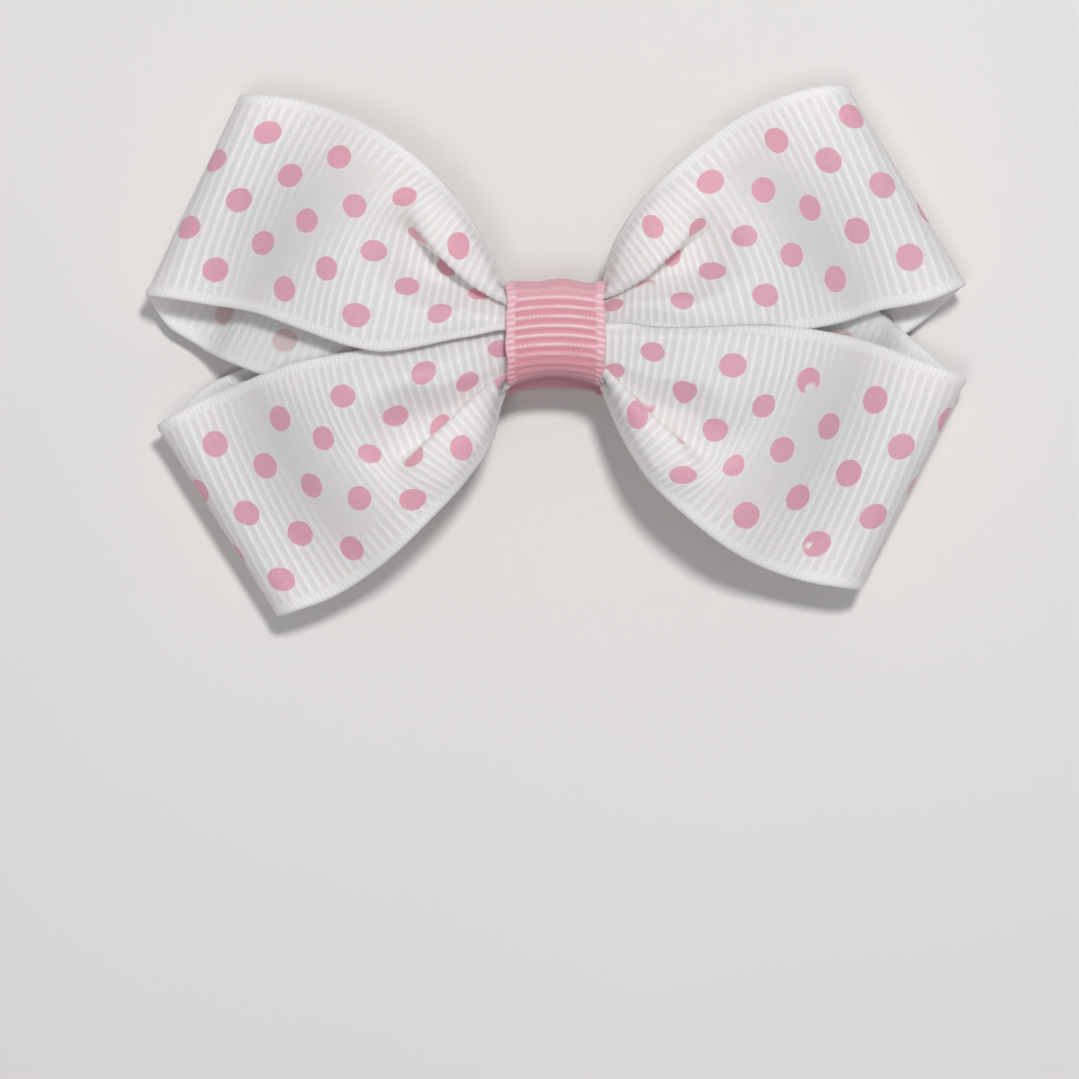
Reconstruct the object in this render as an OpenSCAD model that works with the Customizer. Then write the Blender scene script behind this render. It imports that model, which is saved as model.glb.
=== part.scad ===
// Ribbon hair bow on a metal spring clip.
// Millimetres, +Z up out of the bow's face, +X along the clip towards its thumb end.
// The origin is under the middle of the knot, on the table that the clip lies on.

/* [Bow] */
// Width of the bow across the folds of its loops
bow_w = 82.6; // [78:0.2:88]
// Thickness of the bow ribbon where it is a single layer
ribbon_t = 0.5; // [0.4:0.05:0.6]
// Thickness of one gathered layer of ribbon in the knot
ply_t = 1.1; // [0.9:0.05:1.1]
// Free height between one gathered layer and the next
ply_gap = 0.2; // [0.15:0.05:0.3]

/* [Loop swing] */
// Turn of the upper left loop away from the bow's centre line
swing_upper_left = -1.5; // [-2:0.5:8]
// Turn of the upper right loop
swing_upper_right = 1.3; // [-2:0.1:8]
// Turn of the lower left loop
swing_lower_left = 6.5; // [-2:0.5:8]
// Turn of the lower right loop
swing_lower_right = 0; // [-2:0.5:8]

/* [Centre wrap] */
// Width of the narrow ribbon round the knot
wrap_w = 9.5; // [8:0.1:10]
// Thickness of the narrow ribbon
wrap_t = 0.5; // [0.4:0.05:0.6]
// Height of the wrapped knot across the bow
wrap_h = 10.8; // [10.4:0.1:12]

/* [Clip] */
// Length of the clip
clip_l = 40; // [38:0.5:40]
// Width of the clip's arms at the hinge
clip_w = 8; // [8:0.1:8.4]
// Thickness of the sheet metal
sheet_t = 0.6; // [0.5:0.05:0.6]
// Radius of the hinge pin
pin_r = 0.8; // [0.7:0.05:0.8]
// Thickness of the ribbon that lines the upper arm
lining_t = 0.35; // [0.3:0.05:0.35]
// Thickness of the spring wire
wire_d = 0.6; // [0.5:0.05:0.6]

/* [Hidden] */
$fn = 48;

// Heights of the stack, from the table up: lower arm, upper arm, lining, glue, four gathered layers, wrap.
upper_arm_z = 6.4;
lining_top = upper_arm_z + sheet_t + lining_t;
glue_t = 0.45;
ply_pitch = ply_t + ply_gap;
stack_z = lining_top + glue_t;
stack_top = stack_z + 4 * ply_pitch - ply_gap;
// Middle height of gathered layer n, counted from the clip.
function ply_z(n) = stack_z + ply_t / 2 + n * ply_pitch;

// The loops' route was drawn for a bow of this width.
route_w = 82.6;
route_scale = bow_w / route_w;

// The route of a loop: the inner and outer edge of its ribbon, from the knot over the front, round
// the fold and along the back to the knot again. The loop points along +X with its outer edge at +Y.
function loop_route(front, back) = [
    [[0, -3, front],            [0, 3, front]],
    [[5, -0.5, front],          [5, 5, front]],
    [[12, -1.3, front + 1.3],   [8.6, 11.8, front - 0.4]],
    [[20.5, -0.6, front + 1.2], [14.6, 18.8, front - 0.1]],
    [[30.5, 2.4, 8.6],          [22.4, 23.4, 8.8]],
    [[37.6, 4.1, 7.6],          [28, 25, 7.6]],
    [[41.3, 4.5, 5.1],          [30.6, 25.2, 5.1]],
    [[37.7, 1.8, 2.5],          [27.6, 22.8, 2.5]],
    [[31.5, -2.6, back - 5.1],  [22.6, 18.2, back - 4.9]],
    [[21.5, -6, back - 0.1],    [16.2, 13.6, back - 0.4]],
    [[12, -5.8, back],          [10, 8.4, back]],
    [[5, -4, back],             [5, 4, back]],
    [[0, -3, back],             [0, 3, back]]];

// The loop swings about the knot and lifts, from none at free_start to all of it at free_end.
free_start = 5;
free_end = 28;
function ease(t) = let (c = min(max(t, 0), 1)) c * c * (3 - 2 * c);
function placed(p, swing, lift) =
    let (e = ease((norm([p.x, p.y]) - free_start) / (free_end - free_start)), a = swing * e)
    [p.x * cos(a) - p.y * sin(a), p.x * sin(a) + p.y * cos(a), p.z + lift * e];

// Catmull-Rom curve through a list of points, at u from 0 to the last index.
function point_at(pts, i) = pts[min(max(i, 0), len(pts) - 1)];
function curve(pts, u) =
    let (i = min(floor(u), len(pts) - 2), t = u - i,
         a = point_at(pts, i - 1), b = point_at(pts, i), c = point_at(pts, i + 1), d = point_at(pts, i + 2))
    b + t * ((c - a) / 2 + t * (a - 2.5 * b + 2 * c - d / 2 + t * (1.5 * (b - c) + (d - a) / 2)));

function unit(v) = v / norm(v);

// One loop of ribbon as a closed solid: rings of points round the ribbon's section, along the route.
steps_per_span = 4;
across = 6;
module ribbon_loop(swing, lift, front, back) {
    route = loop_route(front, back);
    inner = [for (r = route) placed(r[0], swing, lift)];
    outer = [for (r = route) placed(r[1], swing, lift)];
    last = len(route) - 1;
    rings = last * steps_per_span;
    step = 1 / steps_per_span;
    // Thickness falls from a gathered layer to a single one just outside the knot.
    function thickness(u) = ply_t + (ribbon_t - ply_t) * ease(min(u, last - u) - 1);
    function mid_point(u, v) = curve(inner, u) * (1 - v) + curve(outer, u) * v;
    function normal(u, v) =
        let (e = step / 8, a = max(u - e, 0), b = min(u + e, last))
        u < step / 2 || u > last - step / 2
        ? [0, 0, u < 1 ? 1 : -1]
        : unit(cross(mid_point(b, v) - mid_point(a, v), curve(outer, u) - curve(inner, u)));
    points = [for (i = [0:rings]) let (u = i * step)
        each concat(
            [for (j = [0:across]) mid_point(u, j / across) + normal(u, j / across) * thickness(u) / 2],
            [for (j = [across:-1:0]) mid_point(u, j / across) - normal(u, j / across) * thickness(u) / 2])];
    n = 2 * (across + 1);
    sides = [for (i = [0:rings - 1], j = [0:n - 1])
        let (a = i * n + j, b = i * n + (j + 1) % n)
        each [[a, b, b + n], [a, b + n, a + n]]];
    first_cap = [for (j = [0:across - 1]) each [[j, n - 1 - j, n - 2 - j], [j, n - 2 - j, j + 1]]];
    last_cap = [for (f = first_cap) [f[0] + rings * n, f[2] + rings * n, f[1] + rings * n]];
    scale([route_scale, route_scale, 1]) polyhedron(points, concat(sides, first_cap, last_cap), convexity = 8);
}

// The upper left to lower right pair lies over the other pair, in front and behind, and lifts clear of it.
over_lift = 1.1;
module upper_left_loop() {
    color("whitesmoke") mirror([1, 0, 0]) ribbon_loop(swing_upper_left, over_lift, ply_z(3), ply_z(1));
}

module lower_right_loop() {
    color("whitesmoke") mirror([0, 1, 0]) ribbon_loop(swing_lower_right, over_lift, ply_z(3), ply_z(1));
}

module upper_right_loop() {
    color("whitesmoke") ribbon_loop(swing_upper_right, 0, ply_z(2), ply_z(0));
}

module lower_left_loop() {
    color("whitesmoke") rotate([0, 0, 180]) ribbon_loop(swing_lower_left, 0, ply_z(2), ply_z(0));
}

// Four turns of thread that hold the gathers.
thread_d = 0.34;
thread_turns = 4;
thread_pitch = 0.6;
module thread_turn() {
    r = 0.9;
    half_y = 4.1;
    low = stack_z - thread_d / 2 - 0.02;
    high = stack_top + thread_d / 2 + 0.02;
    for (side = [-1, 1]) {
        translate([0, side * half_y, low + r]) cylinder(d = thread_d, h = high - low - 2 * r);
        for (z = [low, high])
            translate([0, -(half_y - r), z]) rotate([-90, 0, 0]) cylinder(d = thread_d, h = 2 * (half_y - r));
    }
    // Corner arcs, in the plane across the bow.
    for (corner = [[1, high - r, 0], [-1, high - r, 90], [-1, low + r, 180], [1, low + r, 270]])
        translate([0, corner[0] * (half_y - r), corner[1]]) rotate([90, 0, 90]) rotate([0, 0, corner[2]])
            rotate_extrude(angle = 90) translate([r, 0]) circle(d = thread_d);
}

module gathering_thread() {
    color("white") for (i = [0:thread_turns - 1])
        translate([(i - (thread_turns - 1) / 2) * thread_pitch, 0, 0]) thread_turn();
}

// A flat rounded rectangle, its corners true arcs.
module rounded_rect(w, low, high, r) {
    translate([-w / 2 + r, low]) square([w - 2 * r, high - low]);
    translate([-w / 2, low + r]) square([w, high - low - 2 * r]);
    for (x = [-w / 2 + r, w / 2 - r], y = [low + r, high - r]) translate([x, y]) circle(r = r);
}

// The narrow ribbon round the knot and the clip's upper arm, with its end lapped underneath.
wrap_low = upper_arm_z - 0.9;
wrap_high = stack_top + 0.4 + wrap_t;
wrap_r = 1.6;
lap_t = 0.45;
module centre_wrap() {
    color("pink") rotate([90, 0, 90]) translate([0, 0, -wrap_w / 2]) {
        difference() {
            linear_extrude(wrap_w) rounded_rect(wrap_h, wrap_low, wrap_high, wrap_r);
            translate([0, 0, -1]) linear_extrude(wrap_w + 2)
                rounded_rect(wrap_h - 2 * wrap_t, wrap_low + wrap_t, wrap_high - wrap_t, wrap_r - wrap_t);
        }
        linear_extrude(wrap_w) translate([-wrap_h / 2 + wrap_r, wrap_low - lap_t])
            square([wrap_h - 2 * wrap_r - 1.2, lap_t]);
    }
}

// Glue between the lined clip and the gathered ribbon, one pad on each side of the thread.
module knot_glue() {
    color("ivory") for (x = [-4.4, 1.6]) translate([x, -3, lining_top]) cube([2.8, 6, glue_t]);
}

// Glue that holds the wrap against the underside of the upper arm.
module wrap_glue() {
    gap = upper_arm_z - wrap_low - wrap_t;
    color("ivory") translate([-3.8, -3.2, upper_arm_z - gap]) cube([7.6, 6.4, gap]);
}

// Plan outline of an arm: half width at the tip, at the hinge and at the thumb end, with round ends.
tip_x = -clip_l / 2;
thumb_x = clip_l / 2;
hinge_x = 8;
hinge_z = 3.9;
end_steps = 10;
module arm_outline(tip_half, mid_half, thumb_half, thumb_r) {
    polygon(concat(
        [for (i = [0:end_steps]) let (a = 90 + 180 * i / end_steps)
            [tip_x + tip_half + tip_half * cos(a), tip_half * sin(a)]],
        [[hinge_x - 4, -mid_half], [hinge_x + 4, -mid_half], [hinge_x + 6.5, -thumb_half]],
        [for (i = [0:end_steps]) let (a = -90 + 90 * i / end_steps)
            [thumb_x - thumb_r + thumb_r * cos(a), -thumb_half + thumb_r + thumb_r * sin(a)]],
        [for (i = [0:end_steps]) let (a = 90 * i / end_steps)
            [thumb_x - thumb_r + thumb_r * cos(a), thumb_half - thumb_r + thumb_r * sin(a)]],
        [[hinge_x + 6.5, thumb_half], [hinge_x + 4, mid_half], [hinge_x - 4, mid_half]]));
}

// A pair of ears that stand across the clip at the hinge, with holes of radius hole_r for the pin.
ear_r = 2;
module ears(outside, from_z, to_z, hole_r) {
    for (side = [-1, 1]) difference() {
        translate([hinge_x, side * (outside - sheet_t / 2), hinge_z]) rotate([90, 0, 0])
            translate([0, 0, -sheet_t / 2]) {
                cylinder(r = ear_r, h = sheet_t);
                translate([-ear_r, min(from_z, to_z) - hinge_z, 0])
                    cube([2 * ear_r, abs(to_z - from_z), sheet_t]);
            }
        translate([hinge_x, 0, hinge_z]) rotate([90, 0, 0]) cylinder(r = hole_r, h = clip_w + 2, center = true);
    }
}

tip_half = 2.6;
module clip_upper_arm() {
    color("silver") {
        translate([0, 0, upper_arm_z]) linear_extrude(sheet_t)
            arm_outline(tip_half, clip_w / 2, clip_w / 2, 3);
        ears(clip_w / 2, hinge_z, upper_arm_z + sheet_t, pin_r);
    }
}

// Ribbon glued along the upper arm, folded round its tip and back under it as far as the wrap.
module clip_lining() {
    end_x = 18.5;
    under_x = -5.4;
    color("pink") difference() {
        intersection() {
            translate([-lining_t, 0, upper_arm_z - lining_t]) linear_extrude(sheet_t + 2 * lining_t)
                arm_outline(tip_half, clip_w / 2 - 0.2, clip_w / 2 - 0.2, 3);
            translate([tip_x - 1, -clip_w, 0]) cube([end_x - tip_x + 1, 2 * clip_w, 20]);
        }
        translate([0, 0, upper_arm_z]) linear_extrude(sheet_t) arm_outline(tip_half, clip_w / 2, clip_w / 2, 3);
        translate([under_x, -clip_w, upper_arm_z - 1]) cube([clip_l, 2 * clip_w, 1]);
    }
}

// The lower arm seen from the side: the line along the middle of its sheet, from the teeth to the thumb end.
lower_arm_line = [
    [tip_x + 0.5, 5.1], [-17.6, 3.3], [-15, 1.7], [-12.4, 0.7], [-10, sheet_t / 2],
    [5, sheet_t / 2], [7.5, 0.75], [10, 1.1], [12.5, 1.15], [15, 0.95], [17.5, 0.6], [thumb_x, sheet_t / 2]];

// Half the sheet's thickness to one side of the line at point i, mitred at the bend.
function line_normal(pts, i) =
    let (a = pts[max(i - 1, 0)], b = pts[i], c = pts[min(i + 1, len(pts) - 1)],
         d1 = i == 0 ? unit(c - b) : unit(b - a), d2 = i == len(pts) - 1 ? d1 : unit(c - b),
         m = unit(d1 + d2))
    [-m.y, m.x] / (m * d1);

module lower_arm_side() {
    last = len(lower_arm_line) - 1;
    polygon(concat(
        [for (i = [0:last]) lower_arm_line[i] + line_normal(lower_arm_line, i) * sheet_t / 2],
        [for (i = [last:-1:0]) lower_arm_line[i] - line_normal(lower_arm_line, i) * sheet_t / 2]));
}

// Row of teeth across the tip, standing up against the upper arm's lining.
tooth_top = upper_arm_z - lining_t - 0.05;
teeth = 4;
module tooth_row() {
    w = 2 * tip_half - 0.8;
    p = w / teeth;
    translate([tip_x + 0.2, 0, 0]) rotate([90, 0, 90]) linear_extrude(sheet_t)
        polygon(concat([[-w / 2, 4.9]],
            [for (i = [0:teeth - 1]) each [[-w / 2 + i * p, tooth_top - 0.7], [-w / 2 + (i + 0.5) * p, tooth_top]]],
            [[w / 2, tooth_top - 0.7], [w / 2, 4.9]]));
}

lower_half = clip_w / 2 - sheet_t - 0.2;
module clip_lower_arm() {
    color("silver") {
        intersection() {
            translate([0, clip_w, 0]) rotate([90, 0, 0]) linear_extrude(2 * clip_w) lower_arm_side();
            translate([0, 0, -1]) linear_extrude(8) arm_outline(tip_half, lower_half, clip_w / 2, 2.6);
        }
        tooth_row();
        ears(lower_half, 0.4, hinge_z, pin_r + 0.06);
    }
}

// Headed pin through the four ears.
head_t = 0.4;
module hinge_pin() {
    color("gainsboro") translate([hinge_x, 0, hinge_z]) rotate([90, 0, 0]) {
        cylinder(r = pin_r, h = clip_w, center = true);
        for (side = [-1, 1]) translate([0, 0, side * (clip_w + head_t) / 2])
            cylinder(r1 = side < 0 ? pin_r : pin_r + 0.5, r2 = side < 0 ? pin_r + 0.5 : pin_r, h = head_t, center = true);
    }
}

// Torsion spring: a coil round the pin with one leg under the upper arm and one on the thumb end.
coil_r = 1.5;
coil_turns = 4.5;
coil_half = 2;
coil_steps = 16;
spring_line = concat(
    [[hinge_x + 7.5, -coil_half, upper_arm_z - wire_d / 2 - 0.05],
     [hinge_x + 4, -coil_half, upper_arm_z - wire_d / 2 - 0.3]],
    [for (i = [0:coil_turns * coil_steps])
        let (t = i / (coil_turns * coil_steps), a = 90 + 360 * coil_turns * t)
        [hinge_x + coil_r * cos(a), -coil_half + 2 * coil_half * t, hinge_z + coil_r * sin(a)]],
    [[hinge_x + 4, coil_half, 1.95], [hinge_x + 7.5, coil_half, 1.6]]);

// A round wire along a line that nowhere runs along Y.
wire_sides = 8;
module wire(line, d) {
    last = len(line) - 1;
    points = [for (i = [0:last])
        let (t = unit(line[min(i + 1, last)] - line[max(i - 1, 0)]), n = unit(cross(t, [0, 1, 0])), b = cross(t, n))
        for (j = [0:wire_sides - 1]) let (a = 360 * j / wire_sides)
            line[i] + d / 2 * (n * cos(a) + b * sin(a))];
    sides = [for (i = [0:last - 1], j = [0:wire_sides - 1])
        let (k = i * wire_sides, a = k + j, b = k + (j + 1) % wire_sides)
        each [[a, b + wire_sides, b], [a, a + wire_sides, b + wire_sides]]];
    polyhedron(points, concat(sides,
        [[for (j = [0:wire_sides - 1]) j]],
        [[for (j = [wire_sides - 1:-1:0]) last * wire_sides + j]]), convexity = 8);
}

module torsion_spring() {
    color("silver") wire(spring_line, wire_d);
}

upper_left_loop();
upper_right_loop();
lower_left_loop();
lower_right_loop();
gathering_thread();
centre_wrap();
knot_glue();
wrap_glue();
clip_lining();
clip_upper_arm();
clip_lower_arm();
hinge_pin();
torsion_spring();
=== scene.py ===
"""The looks of a ribbon hair bow: four printed grosgrain loops, a pink wrap and the clip behind them.

Lengths are millimetres in the CAD frame unless a comment says metres; MM turns them into metres.
A loop is described in its own quarter: X away from the knot, Y towards the loop's outer edge.
t runs along the ribbon from the fold (0) over the front to the knot, and is negative along the back.
v runs across the ribbon, from -1 at its inner edge to 1 at its outer edge.
tt is t on a whole grid of points, and vv and xx are distances across the ribbon on that grid.
"""

import math

import bpy
import numpy as np
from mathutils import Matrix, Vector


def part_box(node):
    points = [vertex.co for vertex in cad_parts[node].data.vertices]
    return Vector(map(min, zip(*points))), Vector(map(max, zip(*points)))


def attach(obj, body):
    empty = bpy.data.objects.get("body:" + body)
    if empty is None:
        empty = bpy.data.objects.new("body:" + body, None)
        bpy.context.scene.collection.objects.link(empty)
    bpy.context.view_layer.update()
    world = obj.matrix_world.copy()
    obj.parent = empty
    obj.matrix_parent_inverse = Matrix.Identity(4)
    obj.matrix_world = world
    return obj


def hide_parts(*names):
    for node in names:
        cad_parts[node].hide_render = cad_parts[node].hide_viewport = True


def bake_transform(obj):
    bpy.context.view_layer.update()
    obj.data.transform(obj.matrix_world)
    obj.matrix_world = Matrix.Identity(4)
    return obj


MM = 0.001

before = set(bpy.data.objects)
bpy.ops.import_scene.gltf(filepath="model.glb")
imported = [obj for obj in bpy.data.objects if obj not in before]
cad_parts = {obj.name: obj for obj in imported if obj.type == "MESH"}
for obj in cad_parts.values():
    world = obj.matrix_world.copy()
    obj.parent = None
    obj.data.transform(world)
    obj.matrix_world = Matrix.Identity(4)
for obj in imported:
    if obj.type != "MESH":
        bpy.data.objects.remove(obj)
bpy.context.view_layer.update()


# ---------------------------------------------------------------- curves

# Pieces into which a smooth edge is cut to measure its length.
EDGE_PIECES = 600


def smooth_line(xs, ys, x):
    """Cubic through the points (xs, ys) at x; ys may hold several columns."""
    xs = np.asarray(xs, float)
    ys = np.asarray(ys, float)
    x = np.clip(x, xs[0], xs[-1])
    slope = np.gradient(ys, xs, axis=0)
    i = np.clip(np.searchsorted(xs, x, side="right") - 1, 0, len(xs) - 2)
    h = xs[i + 1] - xs[i]
    s = (x - xs[i]) / h
    if ys.ndim > 1:
        s = s[..., None]
        h = h[..., None]
    return (
        ys[i] * (2 * s**3 - 3 * s**2 + 1)
        + slope[i] * h * (s**3 - 2 * s**2 + s)
        + ys[i + 1] * (3 * s**2 - 2 * s**3)
        + slope[i + 1] * h * (s**3 - s**2)
    )


def profile(table, x):
    """Smooth curve through a table of (x, y) pairs, at x."""
    xs, ys = zip(*table)
    return smooth_line(xs, ys, x)


def ease(x, start, end):
    """0 before start, 1 after end, smooth between."""
    s = np.clip((x - start) / (end - start), 0, 1)
    return s * s * (3 - 2 * s)


def edge_curve(points, share):
    """Point on the smooth line through points of a plane, at a share of its length."""
    points = np.asarray(points, float)
    steps = np.hypot(*np.diff(points, axis=0).T)
    rough = np.concatenate([[0], np.cumsum(steps)])
    fine = np.linspace(0, rough[-1], EDGE_PIECES)
    line = smooth_line(rough, points, fine)
    run = np.concatenate([[0], np.cumsum(np.hypot(*np.diff(line, axis=0).T))])
    return np.stack([np.interp(share * run[-1], run, line[:, k]) for k in range(2)], -1)


def blur(values, sigma, axis):
    """Gaussian blur along one axis, keeping the end rows where they are."""
    reach = int(3 * sigma + 1)
    kernel = np.exp(-0.5 * (np.arange(-reach, reach + 1) / sigma) ** 2)
    kernel /= kernel.sum()
    moved = np.moveaxis(values, axis, 0)
    head = 2 * moved[:1] - moved[reach:0:-1]
    tail = 2 * moved[-1:] - moved[-2 : -reach - 2 : -1]
    padded = np.concatenate([head, moved, tail])
    out = sum(w * padded[k : k + len(moved)] for k, w in enumerate(kernel))
    return np.moveaxis(out, 0, axis)


# ---------------------------------------------------------------- mesh building

def link(thing):
    """Puts an object into the scene and hands it back."""
    bpy.context.scene.collection.objects.link(thing)
    return thing


def make_object(name, points, faces, materials, face_material=None, layers=None, uv=None):
    """A smooth-shaded mesh object from points in millimetres."""
    mesh = bpy.data.meshes.new(name)
    mesh.from_pydata((np.asarray(points) * MM).tolist(), [], faces)
    for material in materials:
        mesh.materials.append(material)
    if face_material is not None:
        mesh.polygons.foreach_set("material_index", np.asarray(face_material, np.int32))
    mesh.polygons.foreach_set("use_smooth", np.ones(len(mesh.polygons), bool))
    for key, values in (layers or {}).items():
        layer = mesh.attributes.new(key, "FLOAT", "POINT")
        layer.data.foreach_set("value", np.asarray(values, np.float32))
    if uv is not None:
        corner = np.zeros(len(mesh.loops), np.int32)
        mesh.loops.foreach_get("vertex_index", corner)
        print_place = mesh.uv_layers.new(name="ribbon")
        print_place.data.foreach_set("uv", np.asarray(uv, np.float32)[corner].ravel())
    mesh.update()
    return link(bpy.data.objects.new(name, mesh))


def grid_faces(rows, cols, offset=0, flip=False):
    """Quads of a rows x cols grid of points."""
    i, j = np.meshgrid(np.arange(rows - 1), np.arange(cols - 1), indexing="ij")
    a = (i * cols + j).ravel() + offset
    quads = np.stack([a, a + cols, a + cols + 1, a + 1], -1)
    return quads[:, ::-1] if flip else quads


def sheet_mesh(name, middle, thickness, relief, materials, layers, uv, mirror=(1, 1)):
    """A closed sheet round a grid of middle points: an outer skin, an inner skin and a rim.
    relief is how far each skin's threads stand out, and mirror turns X and Y."""
    rows, cols, _ = middle.shape
    along = np.gradient(middle, axis=0)
    across = np.gradient(middle, axis=1)
    normal = np.cross(across, along)
    normal /= np.linalg.norm(normal, axis=2, keepdims=True) + 1e-12
    half = (thickness / 2 + relief)[..., None]
    skins = np.stack([middle + normal * half, middle - normal * half])
    skins[..., 0] *= mirror[0]
    skins[..., 1] *= mirror[1]
    points = skins.reshape(-1, 3)
    n = rows * cols
    turned = mirror[0] * mirror[1] < 0
    outer = grid_faces(rows, cols, 0, not turned)
    inner = grid_faces(rows, cols, n, turned)
    ring = np.concatenate([
        np.arange(cols),
        np.arange(1, rows) * cols + cols - 1,
        (rows - 1) * cols + np.arange(cols - 2, -1, -1),
        np.arange(rows - 2, 0, -1) * cols,
    ])
    after = np.roll(ring, -1)
    rim = np.stack([ring, after, after + n, ring + n], -1)
    if not turned:
        rim = rim[:, ::-1]
    faces = np.concatenate([outer, inner, rim])
    index = np.concatenate([np.zeros(len(outer)), np.ones(len(inner)), np.zeros(len(rim))])
    doubled = {key: np.tile(values.ravel(), 2) for key, values in layers.items()}
    doubled_uv = np.tile(uv.reshape(-1, 2), (2, 1))
    return make_object(name, points, faces.tolist(), materials, index, doubled, doubled_uv)


# ---------------------------------------------------------------- node graphs

class Graph:
    """Short names for building a node tree."""

    def __init__(self, tree):
        self.tree = tree

    def node(self, kind, **values):
        made = self.tree.nodes.new(kind)
        for key, value in values.items():
            setattr(made, key, value)
        return made

    def put(self, socket, value):
        if isinstance(value, bpy.types.NodeSocket):
            self.tree.links.new(value, socket)
        else:
            socket.default_value = value

    def math(self, operation, *values):
        made = self.node("ShaderNodeMath", operation=operation)
        for socket, value in zip(made.inputs, values):
            self.put(socket, value)
        return made.outputs[0]

    def step(self, value, low, high, to_low=0.0, to_high=1.0):
        made = self.node("ShaderNodeMapRange", interpolation_type="SMOOTHSTEP")
        settings = {"Value": value, "From Min": low, "From Max": high, "To Min": to_low, "To Max": to_high}
        for socket, number in settings.items():
            self.put(made.inputs[socket], number)
        return made.outputs["Result"]

    def mix(self, factor, a, b):
        made = self.node("ShaderNodeMix", data_type="RGBA")
        self.put(made.inputs[0], factor)
        self.put(made.inputs[6], a)
        self.put(made.inputs[7], b)
        return made.outputs[2]

    def noise(self, vector, scale, detail):
        made = self.node("ShaderNodeTexNoise")
        self.put(made.inputs["Vector"], vector)
        self.put(made.inputs["Scale"], scale)
        self.put(made.inputs["Detail"], detail)
        return made.outputs["Fac"]

    def layer(self, name):
        return self.node("ShaderNodeAttribute", attribute_name=name).outputs["Fac"]

    def ribbon_uv(self):
        return self.node("ShaderNodeUVMap", uv_map="ribbon").outputs[0]

    def object_place(self):
        return self.node("ShaderNodeTexCoord").outputs["Object"]

    def split(self, vector):
        made = self.node("ShaderNodeSeparateXYZ")
        self.put(made.inputs[0], vector)
        return made.outputs[0], made.outputs[1]

    def bump(self, height, distance, strength):
        made = self.node("ShaderNodeBump")
        self.put(made.inputs["Height"], height)
        made.inputs["Distance"].default_value = distance
        made.inputs["Strength"].default_value = strength
        return made.outputs["Normal"]


# ---------------------------------------------------------------- colours, as linear light

# The printed ribbon's white: the crest white is painted highlight on the rib crests and selvedge beads, and
# the valley white is the ribbon's white with painted shade between the ribs.
VALLEY_SHADE_WHITE = (0.82, 0.795, 0.785, 1)
CREST_HIGHLIGHT_WHITE = (1.0, 0.985, 0.975, 1)
# Pale white mixed into the loops' inner face: painted light, for light that reaches the inside of the loops
# through the thin ribbon.
INSIDE_PAINTED_LIGHT_WHITE = (0.97, 0.95, 0.945, 1)
HALO_WHITE = (0.86, 0.82, 0.82, 1)
THREAD_SHADE = (0.62, 0.60, 0.59, 1)
# Painted shade on the smooth band, where the ribbon slopes away from the lamp, and at the fold.
PAINTED_BAND_SHADE = (0.64, 0.625, 0.645, 1)
DOT_PINK = (0.82, 0.43, 0.52, 1)
DOT_PINK_DEEP = (0.76, 0.35, 0.45, 1)
DOT_SHOW_THROUGH = (0.55, 0.30, 0.33, 1)
WRAP_PINK = (0.70, 0.27, 0.345, 1)
# Painted highlight on the wrap's crests, selvedge beads and its side towards +y.
WRAP_HIGHLIGHT_PINK = (1.0, 0.75, 0.80, 1)
# Deep pink for a few darker threads, and painted shade low on the wrap's side towards -y.
WRAP_DEEP_AND_SHADE = (0.29, 0.085, 0.11, 1)
THREAD_WHITE = (0.83, 0.82, 0.80, 1)
GREY_FIBRE = (0.5, 0.48, 0.47, 1)
GLUE_CLEAR = (0.80, 0.76, 0.66, 1)
GLUE_CLOUDY = (0.90, 0.88, 0.82, 1)
CLIP_STEEL = (0.62, 0.62, 0.61, 1)
PIN_STEEL = (0.60, 0.59, 0.57, 1)
SPRING_STEEL = (0.58, 0.58, 0.59, 1)
METAL_DULL = (0.42, 0.41, 0.40, 1)
PAPER_DIM = (0.78, 0.78, 0.77, 1)
PAPER_BRIGHT = (0.82, 0.815, 0.805, 1)
LAMP_WHITE = (1.0, 0.98, 0.975)
SKY_WHITE = (1.0, 0.985, 0.985, 1)


# ---------------------------------------------------------------- materials

# Scales of noise are per millimetre of ribbon where it follows the ribbon, and per metre elsewhere.
# Distances of bump and subsurface scales are metres.

RIB_PITCH = 0.93
DOT_PERIOD = 8.1
DOT_RADIUS = 1.28
DOT_WOBBLE = 0.16
DOT_FRAY = 0.10
# No dot is printed past this distance from the ribbon's middle line.
PRINT_REACH = 9.3

PRINTED_SURFACE = {
    "Roughness": 0.52,
    "Sheen Weight": 0.15,
    "Sheen Roughness": 0.4,
    "Specular IOR Level": 0.35,
    "Subsurface Weight": 0.85,
    "Subsurface Radius": (1.0, 0.9, 0.88),
    "Subsurface Scale": 0.0013,
}
WRAP_SURFACE = {"Roughness": 0.5, "Sheen Weight": 0.2, "Specular IOR Level": 0.35}
GLUE_SURFACE = {"Roughness": 0.28, "Subsurface Weight": 0.3, "Subsurface Scale": 0.001}


def new_material(name, surface):
    """A material's node graph and its shader, whose uniform values come from the table surface."""
    material = bpy.data.materials.new(name)
    material.use_nodes = True
    shader = material.node_tree.nodes["Principled BSDF"]
    for socket, value in surface.items():
        shader.inputs[socket].default_value = value
    return material, Graph(material.node_tree), shader


def dot_distance(graph, t, v, spacing):
    """Distance to the middle of the nearest printed dot; the dots stand in a staggered lattice."""
    def off(value, period, shift):
        moved = graph.math("ADD", graph.math("DIVIDE", value, period), 0.5 + shift)
        part = graph.math("SUBTRACT", graph.math("FRACT", moved), 0.5)
        return graph.math("MULTIPLY", part, period)

    def reach(shift):
        x = off(t, DOT_PERIOD, shift)
        y = off(v, spacing, shift)
        squares = graph.math("ADD", graph.math("MULTIPLY", x, x), graph.math("MULTIPLY", y, y))
        return graph.math("SQRT", squares)

    return graph.math("MINIMUM", reach(0.0), reach(0.5))


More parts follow.
